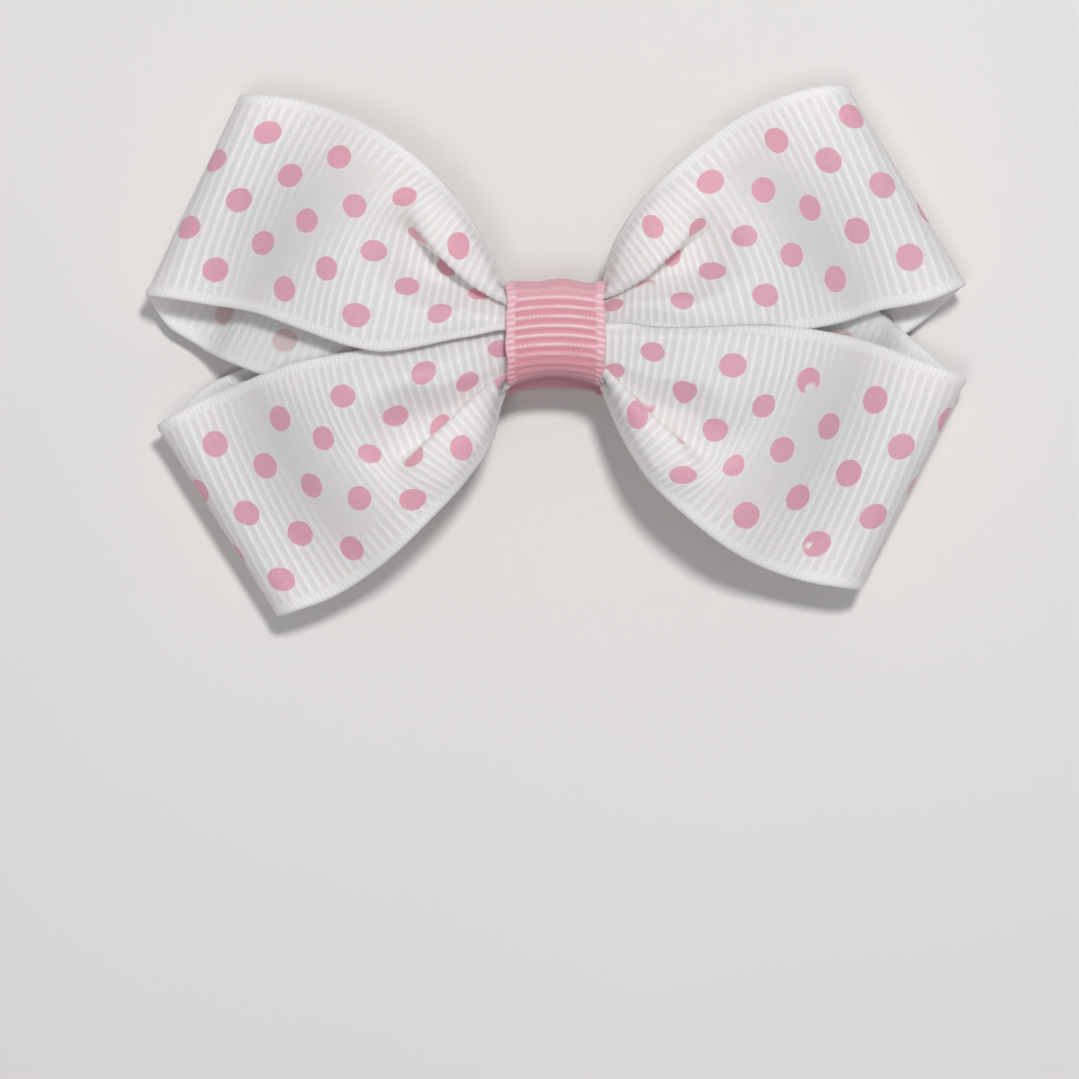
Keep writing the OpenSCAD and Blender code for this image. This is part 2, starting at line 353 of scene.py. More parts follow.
def printed_dots(graph, uv, spacing, inside):
    """The share of pink, and the share of the faint shade round each dot."""
    t, v = graph.split(uv)
    distance = dot_distance(graph, t, v, spacing)
    for scale, detail, amount in ((1.6, 2.0, DOT_WOBBLE), (5.0, 1.0, DOT_FRAY)):
        noise = graph.math("SUBTRACT", graph.noise(uv, scale, detail), 0.5)
        distance = graph.math("ADD", distance, graph.math("MULTIPLY", noise, amount))
    if inside:
        dot = graph.step(distance, DOT_RADIUS - 0.25, DOT_RADIUS + 0.15, to_low=0.55, to_high=0.0)
    else:
        dot = graph.step(distance, DOT_RADIUS - 0.03, DOT_RADIUS + 0.04, to_low=1.0, to_high=0.0)
    in_rows = graph.step(graph.math("ABSOLUTE", v), PRINT_REACH, PRINT_REACH + 0.1, to_low=1.0, to_high=0.0)
    halo = graph.step(distance, DOT_RADIUS + 0.05, DOT_RADIUS + 0.32, to_low=0.5, to_high=0.0)
    printed = graph.math("MULTIPLY", in_rows, graph.layer("worn"))
    return graph.math("MULTIPLY", dot, printed), graph.math("MULTIPLY", halo, in_rows)


def printed_ribbon(name, spacing, inside=False):
    """White ribbed ribbon with pink dots, painted highlight on the rib crests and painted shade on the
    smooth band and at the fold; on its inside the dots only show through and the white is painted lighter.
    """
    material, graph, shader = new_material(name, PRINTED_SURFACE)
    uv = graph.ribbon_uv()
    dot, halo = printed_dots(graph, uv, spacing, inside)
    # Painted highlight on the rib crests and selvedge beads, painted shade between the ribs.
    white = graph.mix(graph.layer("crest_and_highlight"), VALLEY_SHADE_WHITE, CREST_HIGHLIGHT_WHITE)
    if not inside:
        white = graph.mix(halo, white, HALO_WHITE)
    threads = graph.step(graph.noise(uv, 9.0, 2.0), 0.3, 0.7, to_high=0.10)
    white = graph.mix(threads, white, THREAD_SHADE)
    # Painted shade on the smooth band and at the fold.
    white = graph.mix(graph.layer("painted_shade"), white, PAINTED_BAND_SHADE)
    if inside:
        # The inner face painted lighter, standing in for light inside the loops.
        white = graph.mix(0.6, white, INSIDE_PAINTED_LIGHT_WHITE)
        pink = DOT_SHOW_THROUGH
    else:
        pink = graph.mix(graph.noise(uv, 2.2, 3.0), DOT_PINK_DEEP, DOT_PINK)
    graph.put(shader.inputs["Base Color"], graph.mix(dot, white, pink))
    weave = graph.noise(uv, 7.0, 2.0)
    graph.put(shader.inputs["Normal"], graph.bump(weave, 0.00005, 0.35))
    return material


def wrap_ribbon_material(name):
    """Plain pink grosgrain with painted highlight along its crests and selvedges, a few darker threads, and
    painted shade where the mesh's shade layer is set.
    """
    material, graph, shader = new_material(name, WRAP_SURFACE)
    thread = graph.noise(graph.ribbon_uv(), 6.0, 3.0)
    glint = graph.math("MULTIPLY", graph.layer("crest_and_highlight"), graph.step(thread, 0.3, 0.6, to_low=0.65))
    # Painted highlight on the crests and the lit side.
    colour = graph.mix(glint, WRAP_PINK, WRAP_HIGHLIGHT_PINK)
    colour = graph.mix(graph.step(thread, 0.35, 0.65, to_high=0.2), colour, WRAP_DEEP_AND_SHADE)
    # Painted shade low on the side towards -y.
    colour = graph.mix(graph.layer("painted_shade"), colour, WRAP_DEEP_AND_SHADE)
    graph.put(shader.inputs["Base Color"], colour)
    graph.put(shader.inputs["Normal"], graph.bump(thread, 0.00006, 0.5))
    return material


def thread_material(name):
    """Matt white thread with grey fibres."""
    material, graph, shader = new_material(name, {"Roughness": 0.6})
    fibre = graph.noise(graph.object_place(), 6000.0, 2.0)
    colour = graph.mix(graph.step(fibre, 0.3, 0.7, to_high=0.25), THREAD_WHITE, GREY_FIBRE)
    graph.put(shader.inputs["Base Color"], colour)
    graph.put(shader.inputs["Normal"], graph.bump(fibre, 0.00003, 0.5))
    return material


def glue_material(name):
    """Hot glue, cloudy in places."""
    material, graph, shader = new_material(name, GLUE_SURFACE)
    cloud = graph.noise(graph.object_place(), 900.0, 3.0)
    graph.put(shader.inputs["Base Color"], graph.mix(cloud, GLUE_CLEAR, GLUE_CLOUDY))
    graph.put(shader.inputs["Normal"], graph.bump(cloud, 0.0001, 0.4))
    return material


def metal_material(name, colour, rough, stretch):
    """Plated steel with fine drawn lines, which stretch sets per axis, and a few dull patches."""
    material, graph, shader = new_material(name, {"Metallic": 1.0})
    place = graph.object_place()
    scaled = graph.node("ShaderNodeMapping")
    graph.put(scaled.inputs["Vector"], place)
    scaled.inputs["Scale"].default_value = stretch
    lines = graph.noise(scaled.outputs[0], 1.0, 3.0)
    patch = graph.noise(place, 260.0, 3.0)
    dulled = graph.mix(graph.step(patch, 0.45, 0.7, to_high=0.12), colour, METAL_DULL)
    graph.put(shader.inputs["Base Color"], dulled)
    graph.put(shader.inputs["Roughness"], graph.step(patch, 0.35, 0.75, rough, rough + 0.07))
    graph.put(shader.inputs["Normal"], graph.bump(lines, 0.00001, 0.35))
    return material


# ---------------------------------------------------------------- the printed ribbon's loops

FOLD_RADIUS = 2.7
# Where the fold's round ends, as a distance along the ribbon.
FOLD_T = FOLD_RADIUS * math.pi / 2
RIBBON_T = 0.34
# The selvedge's width, and how high the ribs, the selvedge and its beads stand out.
SELVEDGE = 1.1
RIB_HEIGHT = 0.075
SELVEDGE_HEIGHT = 0.035
BEAD_HEIGHT = 0.075
# Depth and half width of the line between the selvedge and the ribs.
SELVEDGE_LINE_DEPTH = 0.06
SELVEDGE_LINE_WIDTH = 0.13
# Steps along the ribbon, and points across it.
STEP_T = 0.15
COLUMNS = 72
# Where the front and the back end inside the knot, and where the wrap's edge crosses the front.
FRONT_END = 42.5
BACK_END = 43.0
WRAP_EDGE_T = 37.7
# About the length of an edge, which turns a lead in millimetres into a share of it.
EDGE_LENGTH = 41
# Points at which a side's way in plan is added up, and the least value of its pace squared.
PLAN_POINTS = 3000
LEAST_PACE = 0.02
# Where along the front the open part passes into the gathered part.
GATHER_FROM = 19.5
GATHER_TO = 25.5
# The soft valley's middle and its spread, as shares of the half width.
VALLEY_MIDDLE = 0.12
VALLEY_SPREAD = 0.42
# How far in from its outer edge the flap starts to roll down.
FLAP_ROLL = 1.3
# Widths of the blurs: across the crease, across the sheet ahead of it, along the rows, round the fold.
CREASE_BLUR = 0.17
OPEN_BLUR = 0.9
ROW_BLUR = 0.3
FOLD_BLUR = 0.4
# The edges fall away from this share of the half width outwards.
EDGE_FALL_START = 0.55
EDGE_FALL_POWER = 1.6

# The tables below are (distance, value) pairs. First the ones along t, from the fold:
# the front's height over the top of the fold,
FRONT_RISE = [(4.24, 0), (8, 0.4), (11, 1.6), (14, 3.3), (17, 4.7), (20, 5.6), (25, 6.4), (29, 6.3),
              (33, 5.4)]
# how far the ribs bend towards the fold,
RIB_BEND = [(0, 0), (2, 0.1), (6, 0.45), (14, 0.95), (18, 1.3), (22.3, 2.0), (26, 2.4), (43, 2.4)]
# how deep the soft valley is along the middle,
VALLEY = [(0, 0), (17, 0), (20, 0.5), (23, 1.5), (26, 2.2), (43, 2.2)]
# how far the inner edge (times the loop's own drop) and the outer edge hang down,
INNER_DROP = [(0, 0), (8, 0.1), (16, 0.4), (24, 0.8), (30, 1.0), (34, 0.8), (WRAP_EDGE_T, 0.3), (43, 0)]
OUTER_DROP = [(0, 0), (8, 0.1), (16, 0.4), (20, 0.8), (23, 1.3), (26, 1.9), (29, 2.2), (33, 2.5), (36, 3.0),
              (WRAP_EDGE_T, 3.3), (43, 2.2)]
# how high the flap beside the crease stands,
FLAP_LIFT = [(17, 0), (26, 0.1), (30, 0.3), (WRAP_EDGE_T, 0.1), (43, 0.1)]
# and how much the back ripples where it is gathered.
BACK_RIPPLE = [(0, 0), (18, 0), (26, 0.15), (34, 0.35), (38, 0.3), (43, 0.3)]
# Then the ones along the crease, from its tip towards the knot (negative ahead of the tip):
# the groove's depth, and the width of the wall between the groove and the flap,
GROOVE_DEPTH = [(-10, 0.1), (-7, 0.9), (-4.5, 2.0), (-2, 2.9), (0, 3.1), (3, 2.7), (6, 1.6), (9.5, 0.8),
                (15, 0.6)]
GROOVE_WALL = [(-9, 6.0), (-5, 3.8), (-2, 1.6), (0, 0.8), (4, 0.5), (8, 0.2), (15, 0.1)]
# how far before the crease the sheet starts to fall, and where it reaches the groove's floor,
FALL_START = [(-9, 7.5), (-4, 6.8), (0, 6.2), (4, 3.5), (7, 2.2), (10, 1.3), (15, 1.0)]
FALL_END = [(-9, 4.6), (-4, 3.9), (0, 3.2), (4, 1.2), (7, 0.6), (10, 0.3), (15, 0.3)]
# how far the sheet runs in under the flap,
TUCK = [(-10, 0), (-1, 0), (0, 0.1), (3, 0.8), (6, 1.4), (15, 1.2)]
# and how much ribbon the gathers take up on each side of the crease.
GATHER_IN = [(-10, 0), (0, 0.02), (4, 0.12), (8, 0.25), (15, 0.25)]
GATHER_OUT = [(-10, 1), (0, 1.0), (4, 1.05), (15, 1.1)]


class Loop:
    """One loop's own measures.

    node, mirror: the CAD node, and the signs that turn X and Y into its quarter
    fold_z, front_z, back_z: heights of the fold's middle, and of the two layers in the knot
    back_lift: how far the back stands up on its way to the knot
    inner, outer, back_inner, back_outer: the edges in plan, from the fold to the knot
    crease: the flap's edge in plan, from its tip at tip_t to the knot
    width: the ribbon's width
    dots_t, dots_v, dots_drift, dots_spacing: the dots' places, their drift across and their rows
    lead_in, lead_out, lead_flap: how far each edge's ribs run ahead of an even pace
    bend, skew: how far the ribs bend and how far they lean near the fold
    depth, tight: factors on the groove's depth and on the gathers
    inner_fall: the inner edge's drop, and how far in it reaches
    soft_crease: whether the crease stays soft on its way to the knot
    band: middle, lean, half length and painted shade of the smooth stretch across the ribbon
    worn: spots (t, v, radius) where a dot is worn off or hidden by a fold
    """

    def __init__(self, **measures):
        self.__dict__.update(measures)


LOOPS = [
    Loop(
        node="upper_left_loop", mirror=(-1, 1), width=22.9,
        fold_z=5.6, front_z=12.25, back_z=9.65, back_lift=1.0,
        inner=[(41.6, 4.2), (35.7, 3.2), (30.7, 2.3), (25.5, 0.4), (20.4, -1.4), (17.3, -1.95), (13.9, -1.5),
               (10.2, -0.65), (8.2, -0.3), (5, 0.3), (0.3, -0.8)],
        outer=[(31.9, 24.5), (25.7, 23.7), (21.6, 22.3), (17.4, 20), (13.4, 17.1), (10.5, 14.1),
               (8, 10.7), (6.2, 7.4), (5, 4.9), (0.3, 4.2)],
        crease=[(12.7, 8.5), (9.6, 5.5), (8.1, 4.4), (6.2, 3.4), (4.6, 2.7)],
        tip_t=28.3, depth=1.15, tight=3.2, soft_crease=False,
        back_inner=[(41.3, 4), (39.9, 1.5), (37.1, -0.4), (34.4, -2), (32.4, -2.9), (21.5, -6), (12, -5.8),
                    (5, -4), (0.3, -3)],
        back_outer=[(31.7, 24.2), (28, 22), (22.6, 18.2), (16.2, 13.6), (10, 8.4), (5, 4.2), (3, 3),
                    (0.3, 2.6)],
        dots_t=-1.55, dots_v=0.21, dots_drift=-0.8, dots_spacing=7.55,
        lead_in=0.5, lead_out=2.84, lead_flap=-2.6, bend=1.25, skew=0.08, inner_fall=(0.5, 1.5),
        band=(14.6, 0.3, 4.2, 0.14), worn=[],
    ),
    Loop(
        node="upper_right_loop", mirror=(1, 1), width=22.5,
        fold_z=5.1, front_z=10.95, back_z=8.35, back_lift=0.0,
        inner=[(41.8, 5.3), (38, 3.6), (32.8, 2.5), (28.2, 1), (24.1, 0.2), (14.4, -0.1), (5.5, 0.6),
               (0.3, -0.8)],
        outer=[(29.6, 25.6), (24.7, 24.8), (19.5, 22.5), (14.4, 18.7), (10.4, 15.1), (7.5, 11.7),
               (5.6, 8.3), (4.7, 5), (0.3, 4.2)],
        crease=[(13.1, 9), (12, 7.9), (10.5, 6.6), (9.2, 5.5), (7.9, 4.8), (6.4, 4.0), (4.8, 3.5)],
        tip_t=26.3, depth=1.2, tight=3.5, soft_crease=False,
        back_inner=[(41.3, 5), (38.5, 2.4), (35.2, 0), (31.5, -2.2), (21.5, -5.6), (12, -5.6), (5, -4),
                    (0.3, -3)],
        back_outer=[(29.5, 25.4), (26.5, 23), (22, 18.6), (16.2, 13.8), (10, 8.4), (5, 4.2), (3, 3),
                    (0.3, 2.6)],
        dots_t=-3.87, dots_v=0.56, dots_drift=-0.39, dots_spacing=7.25,
        lead_in=1.5, lead_out=2.9, lead_flap=-2.6, bend=1.25, skew=0.15, inner_fall=(0.9, 2.0),
        band=(14.3, 0.25, 3.8, 0.42), worn=[(32.6, 4.1, 2.6), (36.6, 7.8, 2.6), (32.6, -4.3, 2.1)],
    ),
    Loop(
        node="lower_left_loop", mirror=(-1, -1), width=22.6,
        fold_z=5.1, front_z=10.95, back_z=8.35, back_lift=0.0,
        inner=[(40.5, 9), (35.8, 6.5), (30.7, 4.5), (25.6, 2.8), (20.4, 1.9), (14, 0.7),
               (9, -0.4), (5, -1.2), (0.3, -1.8)],
        outer=[(28.1, 28.4), (22.7, 26.5), (17.5, 23.2), (12.5, 18.6), (9, 14.7), (6.4, 10.7),
               (5.5, 6.9), (4.9, 5.3), (0.3, 4.2)],
        crease=[(13.6, 11.3), (11.5, 9.3), (8.6, 6.6), (5.4, 4.2), (4.6, 3.7)],
        tip_t=26.4, depth=1.02, tight=1.8, soft_crease=True,
        back_inner=[(40.1, 9.1), (36, 5), (31.7, 3.0), (21.5, -2.5), (12, -5), (5, -4), (0.3, -3)],
        back_outer=[(28, 28.4), (25, 25), (20.5, 20), (15, 14.5), (9.5, 8.8), (5, 4.2), (3, 3), (0.3, 2.6)],
        dots_t=-3.13, dots_v=0.12, dots_drift=0.8, dots_spacing=7.4,
        lead_in=-0.4, lead_out=2, lead_flap=-2.6, bend=1.35, skew=0.12, inner_fall=(1.9, 3.5),
        band=(13.5, 0.2, 4.4, 0.06), worn=[],
    ),
    Loop(
        node="lower_right_loop", mirror=(1, -1), width=22.8,
        fold_z=5.6, front_z=12.25, back_z=9.65, back_lift=1.0,
        inner=[(41.8, 4.2), (37.4, 2.7), (31.7, 0.8), (24, -0.5), (14.4, -0.85), (9, -0.9),
               (5, -0.95), (0.3, -1.2)],
        outer=[(30.8, 25.7), (24.7, 24.7), (18.4, 22.2), (13.4, 18.6), (9.4, 14.7), (6.4, 9.7),
               (5, 6.2), (4.7, 5.4), (0.3, 4.2)],
        crease=[(12.4, 10.7), (8.7, 7.3), (6.6, 5.1), (4.9, 3.4)],
        tip_t=28, depth=0.62, tight=2.5, soft_crease=False,
        back_inner=[(41.4, 4.3), (38, 1.2), (33.2, -2.3), (21.5, -6), (12, -5.8), (5, -4), (0.3, -3)],
        back_outer=[(30.7, 25.7), (27.6, 23), (22.6, 18.2), (16.2, 13.6), (10, 8.4), (5, 4.2), (3, 3),
                    (0.3, 2.6)],
        dots_t=0.31, dots_v=0.18, dots_drift=0.54, dots_spacing=7.15,
        lead_in=0.63, lead_out=2.7, lead_flap=-2.4, bend=1.25, skew=0.1, inner_fall=(1.5, 1.4),
        band=(15.5, 0.25, 4.2, 0.08), worn=[(16.5, -5.7, 0.75), (8.3, 8.0, 0.4), (32.7, -0.9, 1.9)],
    ),
]


def rounded_height(loop, knots, t, sign):
    """Height at t along one side of a loop: the fold's round (up for sign 1), then through knots."""
    flat = profile(knots, np.maximum(t, FOLD_T))
    around = loop.fold_z + sign * FOLD_RADIUS * np.sin(np.minimum(t, FOLD_T) / FOLD_RADIUS)
    return np.where(t < FOLD_T, around, flat)


def front_height(loop, t):
    """Height of the front's ridge line at t."""
    top = loop.fold_z + FOLD_RADIUS
    knots = [(k, top + rise) for k, rise in FRONT_RISE]
    knots += [(WRAP_EDGE_T, loop.front_z + 0.45), (FRONT_END, loop.front_z)]
    return rounded_height(loop, knots, t, 1)


def back_height(loop, t):
    """Height of the back at distance t behind the fold."""
    low = loop.fold_z - FOLD_RADIUS
    rest = loop.back_z
    lift = loop.back_lift
    knots = [
        (FOLD_T, low), (8, low + 0.35), (12, rest - 4.6 + lift), (17, rest - 1.9 + lift),
        (21.5, rest - 0.2 + 0.9 * lift), (26, rest + 0.5 * lift), (34, rest), (BACK_END, rest),
    ]
    return rounded_height(loop, knots, t, -1)


def plan_share(height, end, t):
    """Share of the way in plan that is covered at t, along a side whose height is known."""
    along = np.linspace(0, end, PLAN_POINTS)
    climb = np.gradient(height(along), along)
    pace = np.sqrt(np.clip(1 - climb**2, LEAST_PACE, 1))
    run = np.concatenate([[0], np.cumsum((pace[1:] + pace[:-1]) / 2 * np.diff(along))])
    return np.interp(t, along, run / run[-1])


def crease_line(loop, t):
    """The flap's edge in plan; before the tip it runs straight on, along the crease's first piece."""
    crease = np.array(loop.crease)
    total = np.hypot(*np.diff(crease, axis=0).T).sum()
    end_t = WRAP_EDGE_T + 0.4
    run = (t - loop.tip_t) * total / (end_t - loop.tip_t)
    line = edge_curve(crease, np.clip(run / total, 0, 1))
    ahead = (crease[0] - crease[1]) / np.linalg.norm(crease[0] - crease[1])
    line += ahead * np.clip(-run, 0, None)[:, None]
    inside = np.clip((t - end_t) / (FRONT_END - end_t), 0, 1)[:, None]
    return line + (np.array([0.3, crease[-1][1] - 1.1]) - crease[-1]) * inside


def front_edges(loop, t):
    """The front's inner and outer edge in plan."""
    share = plan_share(lambda x: front_height(loop, x), FRONT_END, t)
    lead = np.sin(math.pi * np.clip(share, 0, 1) ** 1.4) / EDGE_LENGTH
    flap_lead = ease(t, 21, 30) * (1 - ease(t, 34, 38)) / EDGE_LENGTH
    inner = edge_curve(loop.inner, share + loop.lead_in * lead)
    outer = edge_curve(loop.outer, share + loop.lead_out * lead + loop.lead_flap * flap_lead)
    return inner, outer


def edge_fall(v):
    """0 over the middle of the ribbon, 1 at its edge on the side where v is positive."""
    return (np.clip(v - EDGE_FALL_START, 0, 1) / (1 - EDGE_FALL_START)) ** EDGE_FALL_POWER


def open_part(loop, t, v, inner, outer):
    """The open part of the loop: ribs that bend a little away from the knot, over a soft valley."""
    chord = outer - inner
    side = np.stack([chord[:, 1], -chord[:, 0]], -1)
    side /= np.linalg.norm(side, axis=1, keepdims=True)
    s = (v + 1) / 2
    bow = (loop.bend * profile(RIB_BEND, t))[:, None] * 4 * s * (1 - s)
    drop_in, _ = loop.inner_fall
    points = np.empty((len(t), len(v), 3))
    points[..., :2] = inner[:, None] + chord[:, None] * s[None, :, None] + side[:, None] * bow[..., None]
    points[..., 2] = (
        front_height(loop, t)[:, None]
        - profile(VALLEY, t)[:, None] * np.exp(-(((v - VALLEY_MIDDLE) / VALLEY_SPREAD) ** 2))
        - drop_in * profile(INNER_DROP, t)[:, None] * edge_fall(-v)
        - profile(OUTER_DROP, t)[:, None] * edge_fall(v)
    )
    return points


def length_and_way(steps):
    """Lengths of plan steps, and their directions."""
    length = np.linalg.norm(steps, axis=1)
    return length, steps / length[:, None]


def at(start, way, reach, z):
    """The point at a reach from a plan point along a way, at height z."""
    return (*(start + way * reach), z)


def gathered_part(loop, t, v, inner, outer):
    """The gathered part: the inner sheet falls into a groove and runs under a flap."""
    knee = crease_line(loop, t)
    reach_in, way_in = length_and_way(knee - inner)
    reach_out, way_out = length_and_way(outer - knee)
    past = t - loop.tip_t
    drop_in, slope_in = loop.inner_fall
    ridge = front_height(loop, t)
    inner_drop = drop_in * profile(INNER_DROP, t)
    outer_drop = profile(OUTER_DROP, t)
    depth = loop.depth * profile(GROOVE_DEPTH, past)
    wall = profile(GROOVE_WALL, past)
    fall_start = profile(FALL_START, past)
    fall_end = profile(FALL_END, past)
    tuck = profile(TUCK, past)
    lift = profile(FLAP_LIFT, t)
    gather_in = 1 + loop.tight * profile(GATHER_IN, past)
    gather_out = profile(GATHER_OUT, past)
    half = loop.width / 2
    gathered = np.empty((len(t), len(v), 3))
    for i in range(len(t)):
        high = ridge[i] + lift[i]
        low = ridge[i] - depth[i]
        span = reach_in[i] - wall[i] / 2
        first = min(slope_in, span * 0.4)
        begin = max(reach_in[i] - fall_start[i], first + 0.2)
        end = max(min(reach_in[i] - fall_end[i], span - 0.1), begin + 0.1)
        roll = max(reach_out[i] - FLAP_ROLL, reach_out[i] * 0.55)
        places = np.array([
            at(inner[i], way_in[i], 0, ridge[i] - inner_drop[i]),
            at(inner[i], way_in[i], first, ridge[i] - 0.05 * depth[i]),
            at(inner[i], way_in[i], begin, ridge[i] - 0.08 * depth[i]),
            at(inner[i], way_in[i], end, low + 0.12 * depth[i]),
            at(inner[i], way_in[i], max(span, end + 0.05), low),
            at(knee[i], way_in[i], tuck[i], low),
            at(knee[i], way_out[i], min(wall[i] / 2, roll * 0.5), high),
            at(knee[i], way_out[i], roll * 0.5 + min(wall[i] / 4, roll * 0.25), high + 0.1),
            at(knee[i], way_out[i], roll, high - 0.15 * outer_drop[i]),
            at(outer[i], way_out[i], 0, high - outer_drop[i]),
        ])
        steps = np.linalg.norm(np.diff(places, axis=0), axis=1)
        if past[i] < 0:
            knots = np.concatenate([[0], np.cumsum(steps)])
            knots = knots / knots[-1] * loop.width - half
        else:
            from_in = np.concatenate([[0], np.cumsum(steps[:4])]) * gather_in[i] - half
            from_out = half - np.concatenate([[0], np.cumsum(steps[:5:-1])])[::-1] * gather_out[i]
            free = from_out[0] - from_in[-1]
            tucked = from_in[-1] + free * np.clip(steps[4] / (steps[4] + steps[5]), 0.2, 0.6)
            knots = np.concatenate([from_in, [tucked], from_out])
            knots = np.maximum.accumulate(knots + np.arange(len(knots)) * 1e-4)
        for k in range(3):
            gathered[i, :, k] = np.interp(v * half, knots, places[:, k])
    return softened(loop, past, gathered)


def softened(loop, past, points):
    """The gathered part's corners rounded: widely ahead of the crease's tip, little beside the crease."""
    column = loop.width / (points.shape[1] - 1)
    sharp = blur(points, CREASE_BLUR / column, 1)
    soft = blur(points, OPEN_BLUR / column, 1)
    softness = 1 - ease(past, -4.0, 0.5)
    if loop.soft_crease:
        softness = np.maximum(softness, 0.45 * (1 - ease(past, 4, 8)))
    softness = softness[:, None, None]
    return blur(sharp * (1 - softness) + soft * softness, ROW_BLUR / STEP_T, 0)


def front_points(loop, t, v):
    """Middle points of the front for the distances t, at the columns v (from -1 to 1)."""
    inner, outer = front_edges(loop, t)
    gathered = ease(t, GATHER_FROM, GATHER_TO)[:, None, None]
    beside_fold = open_part(loop, t, v, inner, outer)
    beside_knot = gathered_part(loop, t, v, inner, outer)
    return beside_fold * (1 - gathered) + beside_knot * gathered


def back_points(loop, t, v):
    """Middle points of the back for the distances t behind the fold."""
    share = plan_share(lambda x: back_height(loop, x), BACK_END, t)
    inner = edge_curve(loop.back_inner, share)
    outer = edge_curve(loop.back_outer, share)
    s = (v + 1) / 2
    points = np.empty((len(t), len(v), 3))
    points[..., :2] = inner[:, None] + (outer - inner)[:, None] * s[None, :, None]
    ripple = profile(BACK_RIPPLE, t)[:, None] * np.sin(v * math.pi * 5)
    points[..., 2] = back_height(loop, t)[:, None] + ripple
    return points


def rib_crest(t, sharpness, shift=0.0):
    """1 on the top of a rib, falling towards 0 between the ribs."""
    phase = np.abs((t / RIB_PITCH + shift) % 1 - 0.5) * 2
    return np.exp(-((phase / sharpness) ** 2))


def dots_on(loop, tt, vv, lattice_t, lattice_v):
    """1 inside a printed dot, and the layer that says where the print is worn off."""
    def off(value, period, shift):
        return ((value / period + 0.5 + shift) % 1 - 0.5) * period

    def reach(shift):
        return np.hypot(off(lattice_t, DOT_PERIOD, shift), off(lattice_v, loop.dots_spacing, shift))

    worn = np.ones_like(tt)
    for spot_t, spot_v, size in loop.worn:
        worn *= ease(np.hypot(tt - spot_t, vv - spot_v), size * 0.6, size)
    dot = 1 - ease(np.minimum(reach(0), reach(0.5)), DOT_RADIUS - 0.1, DOT_RADIUS + 0.15)
    return dot * worn * (np.abs(lattice_v) < PRINT_REACH), worn


def relief_of(loop, t, v):
    """The threads' relief in millimetres, the layers for the material and the print's (t, v)."""
    half = loop.width / 2
    tt, vv = np.meshgrid(t, v * half, indexing="ij")
    turned = tt + loop.skew * vv * (1 - ease(np.abs(tt), 13, 27))
    lattice_t = turned - loop.dots_t
    lattice_v = vv - loop.dots_v - loop.dots_drift * np.sin(math.pi * np.clip(tt / 36, 0, 1))
    dot, worn = dots_on(loop, tt, vv, lattice_t, lattice_v)
    # The ribs fade out on the smooth band, on the fold and under the print.
    # The band's last value is the strength of its painted shade.
    centre, lean, reach, shade = loop.band
    lens = 1.6 + (reach - 1.6) * np.clip(1 - (vv / half) ** 2, 0, 1)
    band = np.exp(-(((tt - centre - lean * vv) / lens) ** 2)) * ease(half - vv, 1.5, 5)
    at_fold = np.exp(-((tt / 2.0) ** 2))
    fade = (1 - 0.97 * np.clip(band * 1.15, 0, 1)) * (1 - 0.75 * at_fold)
    edge = half - np.abs(vv)
    selvedge = 1 - ease(edge, SELVEDGE - 0.15, SELVEDGE + 0.15)
    ribs = rib_crest(turned, 0.34) * fade * (1 - 0.85 * dot) * (1 - selvedge)
    beads = 0.5 + 0.5 * np.cos(2 * math.pi * tt / (RIB_PITCH / 2))
    round_edge = np.sin(np.clip(edge / SELVEDGE, 0, 1) * math.pi)
    height = RIB_HEIGHT * ribs + selvedge * (SELVEDGE_HEIGHT + BEAD_HEIGHT * beads * round_edge)
    height -= SELVEDGE_LINE_DEPTH * np.exp(-(((edge - SELVEDGE) / SELVEDGE_LINE_WIDTH) ** 2))
    height *= np.clip(edge / 0.25, 0.2, 1)
    # Layers for the material: painted highlight on the rib crests and selvedge beads, painted shade on the
    # smooth band and at the fold, and where the print is worn off.
    layers = {
        "crest_and_highlight": np.clip(ribs + selvedge * (0.25 + 0.6 * beads), 0, 1),
        "painted_shade": np.clip(shade * band + 0.25 * at_fold, 0, 1),
        "worn": worn,
    }
    return height, layers, np.stack([lattice_t, lattice_v], -1)


def pinch_in_knot(middle):
    """Draws the ends together in Y inside the wrap, the half on the negative side only half as much."""
    pinch = 0.60 + 0.40 * ease(middle[..., 0], 3.4, 4.8)
    middle[..., 1] *= np.where(middle[..., 1] > 0, pinch, 0.5 + 0.5 * pinch)


def build_loop(loop, materials):
    """One loop as one sheet, from the knot along the back, round the fold and along the front."""
    front_t = np.arange(0, FRONT_END + STEP_T / 2, STEP_T)
    back_t = np.arange(STEP_T, BACK_END + STEP_T / 2, STEP_T)
    t = np.concatenate([-back_t[::-1], front_t])
    v = np.linspace(-1, 1, COLUMNS)
    middle = np.concatenate([back_points(loop, back_t, v)[::-1], front_points(loop, front_t, v)])
    # The fold itself is smoothed along t, where the two sides meet.
    steps_off = np.arange(len(t)) - len(back_t)
    keep = np.exp(-((steps_off * STEP_T / 2.5) ** 2))[:, None, None]
    middle = middle * (1 - keep) + blur(middle, FOLD_BLUR / STEP_T, 0) * keep
    pinch_in_knot(middle)
    height, layers, uv = relief_of(loop, t, v)
    piece = sheet_mesh(loop.node + "_ribbon", middle, RIBBON_T, height, materials, layers, uv, loop.mirror)
    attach(piece, "bow")
    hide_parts(loop.node)


for loop in LOOPS:
    outside = printed_ribbon("printed_" + loop.node, loop.dots_spacing)
    lining = printed_ribbon("reverse_" + loop.node, loop.dots_spacing, inside=True)
    build_loop(loop, [outside, lining])


# ---------------------------------------------------------------- the pink wrap

WRAP_W = 9.8
WRAP_T = 0.42
WRAP_ROWS = 440
WRAP_COLUMNS = 100
WRAP_SELVEDGE = 0.88
WRAP_RIB_HEIGHT = 0.21
WRAP_BEAD_HEIGHT = 0.13


